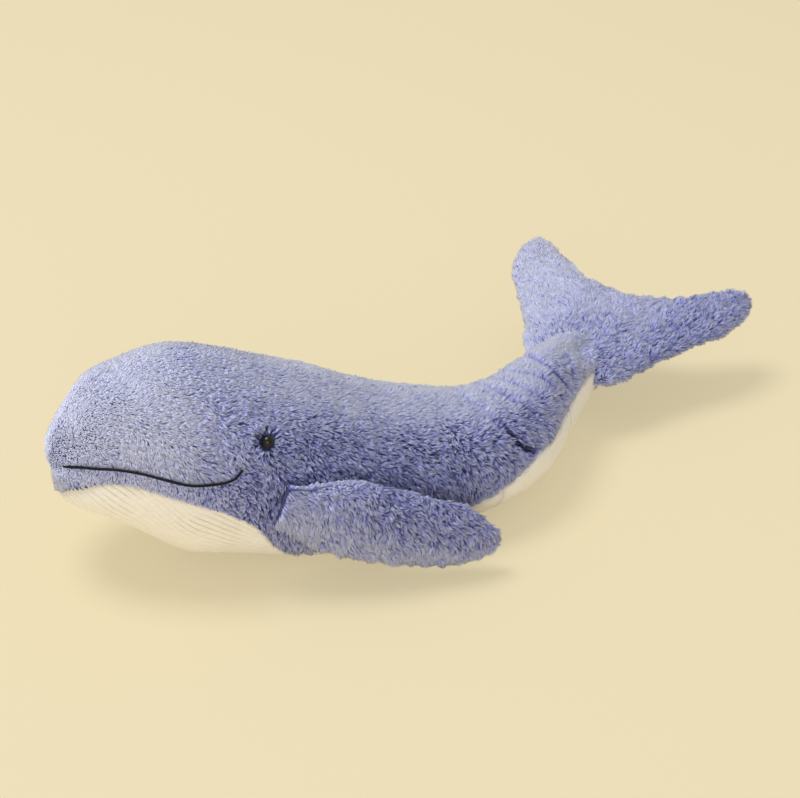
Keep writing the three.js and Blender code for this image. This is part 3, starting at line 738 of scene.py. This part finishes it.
def body_fur(name, s_range, side):
    """Pile over one side of a length of the body, from the belly seam to the crown."""
    s, a = scatter(body_point, s_range, *fur_edges(side), DENSITY)
    p, n, ts, ta = body_surface(s, a)
    length, lean, lip = body_pile(s, a)
    from_crown = np.abs(a - CROWN)
    from_seam = np.abs(from_crown - (math.pi - seam_angle(s))) * 45
    hem = (1 - ease(from_seam, 0, 8)) * ease(s, 205, 235) * (s < BELLY_END)
    tuck = ease(s, 412, 440)
    rough = body_roughness(s, a) * (1 - 0.5 * hem) * (1 - tuck) + 0.6 * tuck
    comb = combed_back(a, p, n, ts, ta, lip, hem, tuck, rough)
    length = length * (1 - 0.35 * hem) * (1 + 0.3 * tuck) * (1 + 0.09 * rough * noise(p, 12, 3))
    lean = lean + rad(7) * rough * noise(p, 13, 2)
    keep = np.ones(len(s), bool)
    for centre, _ in eye_places.values():
        gap = np.linalg.norm(p - centre, axis=1)
        comb = spread_from(comb, n, p - centre, 1 - ease(gap, 5.5, 15), 1.6)
        length = length * (1 - 0.5 * (1 - ease(gap, 3, 9)))
        keep &= gap > EYE_HOLE
    from_mouth, _, _ = distances(p, mouth_line)
    length = length * (1 - 0.3 * (1 - ease(from_mouth, 1.0, 5.0)))
    for line, crease in crease_lines:
        here = close_to(p, line, 8)
        if here.any():
            gap, away, _ = distances(p[here], line)
            near = (1 - ease(gap, 0.3, 3.6)) * min(1, crease / 3)
            comb[here] = spread_from(comb[here], n[here], away, near, 1.2)
            length[here] *= 1 - 0.25 * near
    if s_range[0] < FLIPPER_ROWS[1] and s_range[1] > FLIPPER_ROWS[0]:
        longer = over_flipper(p, side)
        length = length * (1 + 0.5 * longer)
        lean = lean + rad(14) * longer
    if s_range[1] > BODY_LENGTH - 30:
        keep &= ~inside_blade(p - n * neck_sink(s, a)[:, None], 3.0)
    drawn = crease_depth(p)
    root = p - n * pile_depth(s, a, p, drawn)[:, None]
    # Painted shade low on both sides of the head, from before the eye to behind the flipper
    cheek = CHEEK_PAINTED_SHADE * ease(s, 80, 118) * (1 - ease(s, 150, 185)) * ease(from_crown, 0.9, 1.5)
    # Painted shade: the pile is painted darker where the cloth is drawn into a crease, and low on the sides
    # of the head
    painted_shade = CREASE_PAINTED_SHADE * drawn + cheek
    return locks(name, root[keep], n[keep], comb[keep], length[keep], lean[keep], rough[keep], painted_shade[keep])


# Flukes: a blade from tip to tip on the end of the body
blade_centre, blade_along, blade_side, _ = frame_at(BODY_LENGTH)
blade_back = turned(blade_along[None], blade_side[None], np.array([-FLUKE_RISE]))[0]
blade_side = turned(blade_side[None], blade_back[None], np.array([FLUKE_ROLL]))[0]
blade_rise = np.cross(blade_back, blade_side)


def blade_sizes(place, depth):
    reach = np.abs(place)
    swell = rounded_end(HALF_SPAN - depth - reach, FLUKE_TIP, 2)
    return (fluke_chord(reach) - depth) * swell, (fluke_depth(reach) - depth) * swell, fluke_middle(reach)


def blade_point(place, angle, depth=0.0):
    """The angle 0 is the front edge, and the upper face lies from 0 to half a turn."""
    chord, thick, middle = blade_sizes(place, depth)
    p = blade_centre + blade_side * place[..., None] + blade_back * middle[..., None]
    return p - blade_back * (chord * np.cos(angle))[..., None] \
        + blade_rise * (thick * np.sin(angle))[..., None]


def inside_blade(p, depth):
    d = p - blade_centre
    place, back, rise = d @ blade_side, d @ blade_back, d @ blade_rise
    chord, thick, middle = blade_sizes(place, depth)
    return ((back - middle) / np.maximum(chord, 0.1)) ** 2 + (rise / np.maximum(thick, 0.1)) ** 2 < 1


def neck_gap(p):
    """How far outside the end of the tail each point lies, and its station."""
    s = BODY_LENGTH + (p - blade_centre) @ blade_along
    centre, _, side, up = body_frame(s)
    y, z = np.sum((p - centre) * side, 1), np.sum((p - centre) * up, 1)
    height = np.where(z < 0, low_height(s), top_height(s))
    return (np.sqrt((y / half_width(s)) ** 2 + (z / height) ** 2) - 1) * half_width(s), s


# Pile of the flukes and flippers
LIMB_PILE = (6.4, rad(48))
LIMB_DEPTH = float(root_depth(*LIMB_PILE))
TIP_GAP = 0.4
NECK_INSIDE, NECK_CLEAR, FILLET, FILLET_REACH = -13, 12, 4.0, 18
FLIPPER_START, ROOT_SLIM, ROOT_NARROW = -9.0, 0.35, 0.14
EDGE_WIDTH, EDGE_SINK = 0.4, 1.4


def outward(n, away):
    return n * np.sign(np.sum(n * away, 1))[:, None]


def fluke_fur(name, side, upper):
    """Pile of one face of one lobe."""
    def place_of(u, v):
        return blade_point(side * u, v)

    first = 0 if upper else -math.pi
    last = first + math.pi
    u, v = scatter(place_of, (0.0, HALF_SPAN - TIP_GAP), steady(first), steady(last), DENSITY)
    p, n, tu, _ = surface(place_of, u, v, SMALL_STEP, SMALL_TURN)
    middle = blade_centre + blade_side * (side * u)[:, None] + blade_back * fluke_middle(u)[:, None]
    n = outward(n, p - middle)
    comb = laid_along(tu * (0.75 * ease(u, 0, 30))[:, None] + blade_back * 0.65, n)
    comb = turned(comb, n, rad(20) * noise(p, 30, 4) + rad(15) * noise(p, 10, 5))
    length, lean = LIMB_PILE
    lean = lean + rad(7) * noise(p, 12, 2)
    length = length * (1 + 0.1 * noise(p, 12, 3)) * (1 + 0.15 * ease(u, HALF_SPAN * 0.7, HALF_SPAN))
    gap, s = neck_gap(p)
    keep = (gap > NECK_INSIDE) | (s > NECK_END - NECK_CLEAR)
    fillet = FILLET * (1 - ease(np.abs(gap + 2), 0, FILLET_REACH)) * (1 - ease(s, 462, 488)) * upper
    root = p - n * (LIMB_DEPTH - fillet)[:, None]
    out = ease(u, 18, 55)
    tuck = 1 - ease(np.abs(gap), 3, 16)
    rough = 0.34 + (0.4 if side < 0 else -0.16) * out + 0.26 * tuck
    # Painted shade: the flukes' pile is painted darker than the body's, more so out on the left lobe, where
    # the pile is also rougher
    painted_shade = 0.07 + (0.09 if side < 0 else -0.02) * out
    return locks(name, root[keep], n[keep], comb[keep], length[keep], lean[keep], rough[keep], painted_shade[keep])


def flipper_frame(sign):
    """The pivot of a flipper and its directions: along it, up across it and through it."""
    angle = angle_at_height(np.array([float(FLIPPER_STATION)]), FLIPPER_HEIGHT)
    angle = angle if sign > 0 else math.pi - angle
    pivot = body_point(np.array([float(FLIPPER_STATION)]), angle)[0]
    pivot[1] += sign * (FLIPPER_ROOT - FLIPPER_GROOVE)
    z = np.array([[0.0, 0, 1]])
    level = turned(np.array([[1.0, 0, 0]]), z, np.array([sign * FLIPPER_SPREAD]))
    sideways = np.cross(z, level)
    along = turned(level, sideways, np.array([FLIPPER_DROP]))
    chord = np.cross(along, sideways)
    return pivot, along[0], chord[0], np.cross(along, chord)[0]


def flipper_point(sign, place, angle, depth=0.0):
    pivot, along, chord, through = flipper_frame(sign)
    swell = rounded_end(FLIPPER_LENGTH - depth - place, FLIPPER_TIP, 2)
    wide = (flipper_width(place) - depth) * swell
    thick = (flipper_depth(place) - depth) * swell
    return pivot + along * place[..., None] + chord * (wide * np.cos(angle))[..., None] \
        + through * (thick * np.sin(angle))[..., None]


def flank_gap(p):
    """How far outside the body's surface each point near the flank lies, along Y."""
    s = p[:, 0] + NOSE_TO_REST
    a = angle_at_height(s, p[:, 2])
    power = np.where(np.sin(a) < 0, low_power(s), 1)
    reach = np.abs(np.cos(a)) ** power * half_width(s) * nose_share(s)
    return np.abs(p[:, 1]) - reach


def flipper_taper(p, middle, u, chord, through):
    """Slims the root of a flipper, so that it comes out of the flank without a step."""
    away = p - middle
    thin = (ROOT_SLIM * (1 - ease(u, FLIPPER_START, 34)))[..., None]
    narrow = (ROOT_NARROW * (1 - ease(u, FLIPPER_START, 24)))[..., None]
    return p - through * np.sum(away * through, -1, keepdims=True) * thin \
        - chord * np.sum(away * chord, -1, keepdims=True) * narrow


def flipper_fur(name, sign, outer):
    """Pile of one face of a flipper, flatter and lower along its upper edge."""
    def place_of(u, v):
        return flipper_point(sign, u, v)

    pivot, along, chord, through = flipper_frame(sign)
    start = 0.0 if np.sign(through[1]) == sign else math.pi
    if not outer:
        start += math.pi
    reach = (FLIPPER_START, FLIPPER_LENGTH - TIP_GAP)
    u, v = scatter(place_of, reach, steady(start), steady(start + math.pi), DENSITY)
    p, n, tu, _ = surface(place_of, u, v, SMALL_STEP, SMALL_TURN)
    middle = pivot + along * u[:, None]
    p = flipper_taper(p, middle, u, chord, through)
    n = outward(n, p - middle)
    upper = np.cos(v)
    comb = laid_along(tu * (0.4 + 0.5 * ease(upper, -0.5, 0.6))[:, None] + np.array([0, 0, -0.7]), n)
    comb = turned(comb, n, rad(22) * noise(p, 28, 6) + rad(16) * noise(p, 10, 7))
    length, lean = LIMB_PILE
    lean = lean - rad(4) + rad(7) * noise(p, 12, 2)
    gap = flank_gap(p)
    edge = np.exp(-(((1 - upper) / EDGE_WIDTH) ** 2)) * (1 - ease(u, 80, 115))
    length = length * (1 + 0.1 * noise(p, 11, 3)) * (0.8 + 0.2 * ease(gap, -1, 6)) * (1 - 0.35 * edge)
    lean = lean + rad(12) * edge
    keep = (gap > -3.0) & (p[:, 2] > 1.0)
    root = p - n * (LIMB_DEPTH + EDGE_SINK * edge)[:, None]
    root[:, 2] = np.maximum(root[:, 2], 1.2)
    rough = 0.4 + 0.45 * ease(upper, -0.7, 0.2) * ease(u, 15, 60)
    # The flippers' pile is painted darker by 0.1, as painted shade on the low flippers
    return locks(name, root[keep], n[keep], comb[keep], length[keep], lean[keep], rough[keep], 0.1)


# Backing of the pile, which also is the form that the stuffing fills
NOSE_START, NOSE_REACH, NOSE_ROWS, ROW_STEP = 0.15, 24, 16, 3.0
RING = np.linspace(-math.pi / 2, 1.5 * math.pi, 145)[:-1]
LIMB_RING = np.linspace(0, 2 * math.pi, 73)[:-1]


def row_stations(start, end):
    if start > 1:
        return np.linspace(start, end, max(3, round((end - start) / ROW_STEP) + 1))
    nose = NOSE_START + NOSE_REACH * np.linspace(0, 1, NOSE_ROWS) ** 2.2
    return np.concatenate([nose, np.linspace(nose[-1], end, round((end - nose[-1]) / ROW_STEP) + 1)[1:]])


def core(name, start, end):
    ss, aa = np.meshgrid(row_stations(start, end), RING, indexing="ij")
    return closed_tube(name, skin_of_body(ss, aa), BACKING)


# Corduroy of the belly
WALE, GROOVE_WIDTH, BELLY_THICKNESS = 5.6, 0.42, 2.2
WALE_SHAPE = np.array([0.0, 0.1, 0.22, 0.38, 0.62, 0.78, 0.9])
GROOVE_DEPTH, RIB_CROWN, QUILT, SEAM_DEPTH, SEAM_WIDTH = 0.5, 0.25, 0.35, 3.6, 4.5
RIBS_CLOSER = 0.4
BELLY_STEP, BELLY_GAP, CHIN_REACH, ARC_POINTS = 3.2, 0.1, 18, 161


def belly_stations(start, end):
    if start > CHIN:
        return np.linspace(start, end, max(3, round((end - start) / BELLY_STEP) + 1))
    chin = CHIN + BELLY_GAP + CHIN_REACH * np.linspace(0, 1, 10)[:-1] ** 1.6
    rest = np.linspace(CHIN + (CHIN_REACH + BELLY_GAP), end, round((end - CHIN - CHIN_REACH) / BELLY_STEP))
    return np.concatenate([chin, rest])


def rib_places(s):
    """Angles across the ribs at each station, how far along the cloth they lie from the keel and the seam."""
    share = np.linspace(0, 1, ARC_POINTS)
    fine = -math.pi / 2 + share[None] * (seam_angle(s)[:, None] + 0.02)
    dense = body_point(np.repeat(s[:, None], ARC_POINTS, 1), fine)
    steps = np.linalg.norm(np.diff(dense, axis=1), axis=2)
    arc = np.concatenate([np.zeros((len(s), 1)), np.cumsum(steps, 1)], 1)
    pitch = (1 - RIBS_CLOSER * ease(s, 45, 165))[:, None]
    widest = (arc[:, -1:] / pitch).max()
    wales = np.arange(0, math.ceil(widest / WALE) + 1)
    across = (wales[:, None] + WALE_SHAPE[None]).ravel() * WALE
    across = across[across < widest + WALE]
    both = np.concatenate([-across[:0:-1], across])
    reach = np.clip(np.abs(both)[None] * pitch, 0, arc[:, -1:])
    angles = np.array([np.interp(reach[i], arc[i], fine[i]) for i in range(len(s))])
    angles = np.where(both < 0, -math.pi - angles, angles)
    return angles, reach / pitch / WALE % 1, arc[:, -1:] - reach


def belly(name, start, end):
    """Corduroy between the seams: its ribs run along the body and draw together behind the chin."""
    s = belly_stations(start, end)
    aa, phase, edge = rib_places(s)
    rows, columns = aa.shape
    phase, edge = phase.ravel(), edge.ravel()
    p, n, _, _ = body_surface(np.repeat(s, columns), aa.ravel())
    ribs = 0.55 + 0.3 * noise(p, 38, 4) + 0.2 * noise(p, 9, 5)
    groove = np.exp(-((np.minimum(phase, 1 - phase) * WALE / GROOVE_WIDTH) ** 2)) * np.clip(ribs, 0.1, 1)
    crown = RIB_CROWN * np.sin(math.pi * phase)
    quilt = 0.5 * noise(p, 46, 1) + 0.3 * noise(p, 17, 2)
    seam = SEAM_DEPTH * (1 - ease(edge, 0, SEAM_WIDTH)) ** 2
    drop = 1.0 + GROOVE_DEPTH * groove - crown - QUILT * quilt + seam
    outer = p - n * drop[:, None]
    outer[:, 2] = np.maximum(outer[:, 2], 0.05)
    inner = p - n * (drop + BELLY_THICKNESS)[:, None]
    inner[:, 2] = np.maximum(inner[:, 2], 1.2)
    made = slab(name, outer, inner, rows, columns, CORDUROY)
    point_values(made.data, "groove", np.concatenate([groove, groove]))
    return made


# Joints: where pieces that cross them start and stop bending
WAIST, MID, REAR = 205.0, 281.0, 346.0


def spot(s):
    return tuple(float(x) * MM for x in frame_at(s)[0])


BENDS = {
    "waist": ("trunk", "tail_front", spot(WAIST + 8), spot(MID - 2)),
    "mid": ("tail_front", "tail_rear", spot(MID + 4), spot(REAR - 4)),
    "rear": ("tail_rear", "flukes", spot(BODY_LENGTH - 2), spot(NECK_END - 8)),
}


def carry(piece, bend):
    """Rides the piece on a body, or, where it crosses a joint, leaves it in place with its placing applied to
    its mesh.
    """
    if bend in BENDS:
        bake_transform(piece)
    else:
        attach(piece, bend)
    return piece


LENGTHS = [
    ("trunk", NOSE_START, MID, "waist"), ("tail_front", MID, REAR, "mid"),
    ("tail_rear", REAR, NECK_END, "rear"),
]
for part, start, end, bend in LENGTHS:
    made = core(part + "_filled_form", start, end)
    carry(made, bend)
    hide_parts(part + "_stuffing")
    panel = carry(belly(part + "_corduroy", start, min(end, BELLY_END)), bend)
    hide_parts(part + "_belly_panel")

PATCHES = [
    ("muzzle", 0.004, 58, "trunk"), ("forehead", 58, 100, "trunk"), ("cheek", 100, 142, "trunk"),
    ("shoulder", 142, WAIST, "trunk"), ("waist", WAIST, MID, "waist"), ("tail_front", MID, REAR, "mid"),
    ("tail_rear", REAR, NECK_END, "rear"),
]
COVERS = {"muzzle": "trunk", "tail_front": "tail_front", "tail_rear": "tail_rear"}
for part, start, end, bend in PATCHES:
    for side_name, sign in SIDES:
        made = carry(body_fur("plush_" + part + "_" + side_name, (start, end), sign), bend)
        node = COVERS.get(part)
        if node:
            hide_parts(node + "_cover_" + side_name)

# Flukes and flippers
CORE_DEPTH = LIMB_DEPTH + BACKING_GAP


def tip_places(length, start, count):
    """Places along a limb, closer together towards its tip."""
    t = np.linspace(0, 1, count)
    return start + (length - start) * (1 - (1 - t) ** 1.8)


def flipper_core(name, sign):
    pivot, along, chord, through = flipper_frame(sign)
    places = tip_places(FLIPPER_LENGTH - CORE_DEPTH - 0.1, FLIPPER_START, 46)
    uu, vv = np.meshgrid(places, LIMB_RING, indexing="ij")
    rings = flipper_point(sign, uu, vv, CORE_DEPTH)
    rings = flipper_taper(rings, pivot + along * uu[..., None], uu, chord, through)
    rings -= chord * np.cos(vv)[..., None] * EDGE_SINK
    rings[..., 2] = np.maximum(rings[..., 2], 0.8)
    gap = flank_gap(rings.reshape(-1, 3)).reshape(rings.shape[:2])
    rings[..., 1] += sign * np.maximum(0, 0.6 - gap)
    return closed_tube(name, rings, BACKING)


places = tip_places(HALF_SPAN - CORE_DEPTH - 0.1, 0, 40)
places = np.concatenate([-places[:0:-1], places])
uu, vv = np.meshgrid(places, LIMB_RING, indexing="ij")
made = closed_tube("fluke_filled_form", blade_point(uu, vv, CORE_DEPTH), BACKING)
carry(made, "rear")
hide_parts("fluke_stuffing")
for upper, node in ((True, "fluke_upper_panel"), (False, "fluke_under_panel")):
    for side_name, sign in SIDES:
        made = carry(fluke_fur(f"plush_{node[:-6]}_{side_name}", sign, upper), "rear")
        if sign < 0:
            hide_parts(node)

for side_name, sign in SIDES:
    body = "flipper_" + side_name
    pivot, along, _, _ = flipper_frame(sign)
    made = flipper_core(body + "_filled_form", sign)
    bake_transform(made)
    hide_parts(body + "_stuffing")
    for face in ("outer", "inner"):
        made = flipper_fur(f"plush_{body}_{face}", sign, face == "outer")
        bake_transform(made)
        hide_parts(body + "_" + face + "_panel")

# Eyes: glossy beads on a shank
SHANK = [(0.2, -16), (1.3, -15.8), (1.3, -2.2)]
DOME_ANGLES = np.linspace(-0.46, 1.56, 26)


def eye_bead(name, centre, normal):
    """A round form from its profile of radius and height."""
    profile = SHANK + [(EYE_RADIUS * math.cos(t), EYE_RADIUS * math.sin(t)) for t in DOME_ANGLES]
    side = unit(np.cross(normal, [0, 0, 1.0]))
    other = np.cross(normal, side)
    angle = np.linspace(0, 2 * math.pi, 49)[:-1]
    rings = [[centre + normal * z + (side * math.cos(t) + other * math.sin(t)) * r for t in angle]
             for r, z in profile]
    return closed_tube(name, np.array(rings), EYE)


for side_name, (centre, normal) in eye_places.items():
    made = eye_bead("eye_bead_" + side_name, centre, normal)
    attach(made, "trunk")
    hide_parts("eye_" + side_name)

# Mouth: a twisted thread laid on the pile from cheek to cheek
THREAD_RADIUS, THREAD_STEP, THREAD_TWIST = 0.85, 0.5, 2.6
THREAD_OUT, THREAD_SUNK = 1.0, 4.0


def length_along(p):
    return np.concatenate([[0], np.cumsum(np.linalg.norm(np.diff(p, axis=0), axis=1))])


def mouth_path():
    """The middle of the thread. It dips under the pile at the nose."""
    s = mouth_stations(0.25, 16, 90)[1:]
    p, n, _, _ = body_surface(s, angle_at_height(s, mouth_height(s)))
    out = THREAD_OUT - THREAD_SUNK * (1 - ease(length_along(p), 10, 26))
    right = p + n * out[:, None]
    nose = right[0] * [1, 0, 1]
    path = np.concatenate([(right * [1, -1, 1])[::-1], nose[None], right])
    far = length_along(path)
    even = np.linspace(0, far[-1], int(far[-1] / THREAD_STEP))
    return np.stack([np.interp(even, far, path[:, k]) for k in range(3)], 1), even


path, even = mouth_path()
ahead = unit(np.gradient(path, axis=0))
side = unit(np.cross(ahead, [0, 0, 1.0]))
lift = np.cross(side, ahead)
rings = []
for i in range(len(path)):
    taper = min(1.0, 0.25 + min(i, len(path) - 1 - i) / 4)
    twist = even[i] / THREAD_TWIST * 2 * math.pi
    ring = []
    for t in np.linspace(0, 2 * math.pi, 13)[:-1]:
        r = THREAD_RADIUS * taper * (1 + 0.16 * math.cos(2 * (t - twist)))
        ring.append(path[i] + (side[i] * math.cos(t) + lift[i] * math.sin(t)) * r)
    rings.append(ring)
made = closed_tube("mouth_line", np.array(rings), THREAD, flip=False)
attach(made, "trunk")
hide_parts("mouth_thread")

# What lies hidden inside keeps its solids, with its own materials
bag_cloth, _ = mottled("bag_cloth", 0.9, (206, 200, 186), (226, 220, 208), 600)
washer_plastic, _ = mottled("washer_plastic", 0.9, (222, 222, 218), (236, 236, 232), 80)
HIDDEN = {"pellet_bag": bag_cloth, "eye_washer_left": washer_plastic, "eye_washer_right": washer_plastic}
for node, material in HIDDEN.items():
    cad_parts[node].data.materials.clear()
    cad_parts[node].data.materials.append(material)

# Floor and background, in metres: one plain colour, and the floor keeps the shadow
FLOOR_COLOUR = srgb(231, 217, 180)
FLOOR_REACH, FLOOR_EVEN = 14.0, 0.6


def floor_material():
    """A share of the floor's colour reaches the camera as it is, and the rest is lit and shaded."""
    material, nodes, links, shader = new_material("pale_floor", 0.9)
    set_inputs(shader, {"Base Color": FLOOR_COLOUR, "Specular IOR Level": 0.0})
    even = set_inputs(nodes.new("ShaderNodeEmission"), {"Color": FLOOR_COLOUR})
    blend = nodes.new("ShaderNodeMixShader")
    rays = nodes.new("ShaderNodeLightPath")
    share = nodes.new("ShaderNodeMath")
    share.operation = "MULTIPLY"
    share.inputs[1].default_value = FLOOR_EVEN
    links.new(rays.outputs["Is Camera Ray"], share.inputs[0])
    links.new(share.outputs[0], blend.inputs["Fac"])
    links.new(shader.outputs["BSDF"], blend.inputs[1])
    links.new(even.outputs["Emission"], blend.inputs[2])
    links.new(blend.outputs["Shader"], nodes["Material Output"].inputs["Surface"])
    return material


mesh = bpy.data.meshes.new("floor")
corners = [(x * FLOOR_REACH, y * FLOOR_REACH, 0) for x, y in ((-1, -1), (1, -1), (1, 1), (-1, 1))]
mesh.from_pydata(corners, [], [(0, 1, 2, 3)])
mesh.materials.append(floor_material())
floor = placed("floor", mesh)

# Soft light from all round, which the camera and reflections see as the floor's plain colour
world = bpy.data.worlds.new("studio")
bpy.context.scene.world = world
world.use_nodes = True
nodes, links = world.node_tree.nodes, world.node_tree.links
sky = set_inputs(nodes["Background"], {"Color": (0.97, 0.98, 1, 1), "Strength": 0.56})
seen = set_inputs(nodes.new("ShaderNodeBackground"), {"Color": FLOOR_COLOUR})
rays = nodes.new("ShaderNodeLightPath")
plain = rays.outputs["Is Camera Ray"]
for ray in ("Is Glossy Ray", "Is Transmission Ray"):
    either = nodes.new("ShaderNodeMath")
    either.operation = "MAXIMUM"
    links.new(plain, either.inputs[0])
    links.new(rays.outputs[ray], either.inputs[1])
    plain = either.outputs[0]
pick = nodes.new("ShaderNodeMixShader")
links.new(plain, pick.inputs["Fac"])
links.new(sky.outputs["Background"], pick.inputs[1])
links.new(seen.outputs["Background"], pick.inputs[2])
links.new(pick.outputs["Shader"], nodes["World Output"].inputs["Surface"])

# Lamps and camera
LAMP_TARGET = (0.05, 0, 0.05)
AZIMUTH, ELEVATION, CAMERA_DISTANCE = rad(-14), rad(31), 1.25
LOOK_AT = Vector((54, 0, 93)) * MM


def facing(made, direction):
    made.rotation_euler = direction.to_track_quat("-Z", "Y").to_euler()


def lamp(name, place, size, power):
    data = bpy.data.lights.new(name, "AREA")
    data.shape = "DISK"
    data.size, data.energy = size, power
    made = placed(name, data)
    made.location = place
    facing(made, Vector(LAMP_TARGET) - Vector(place))


lamp("key", (-0.9, 0.4, 3.2), 1.6, 66)
lamp("fill", (-0.9, -2.9, 1.3), 2.2, 26)

back = Vector((math.sin(AZIMUTH) * math.cos(ELEVATION), -math.cos(AZIMUTH) * math.cos(ELEVATION),
               math.sin(ELEVATION)))
data = bpy.data.cameras.new("camera")
data.lens, data.sensor_width = 85, 36
camera = placed("camera", data)
camera.location = LOOK_AT + back * CAMERA_DISTANCE
facing(camera, -back)
bpy.context.scene.camera = camera
bpy.context.scene.view_settings.view_transform = "Standard"
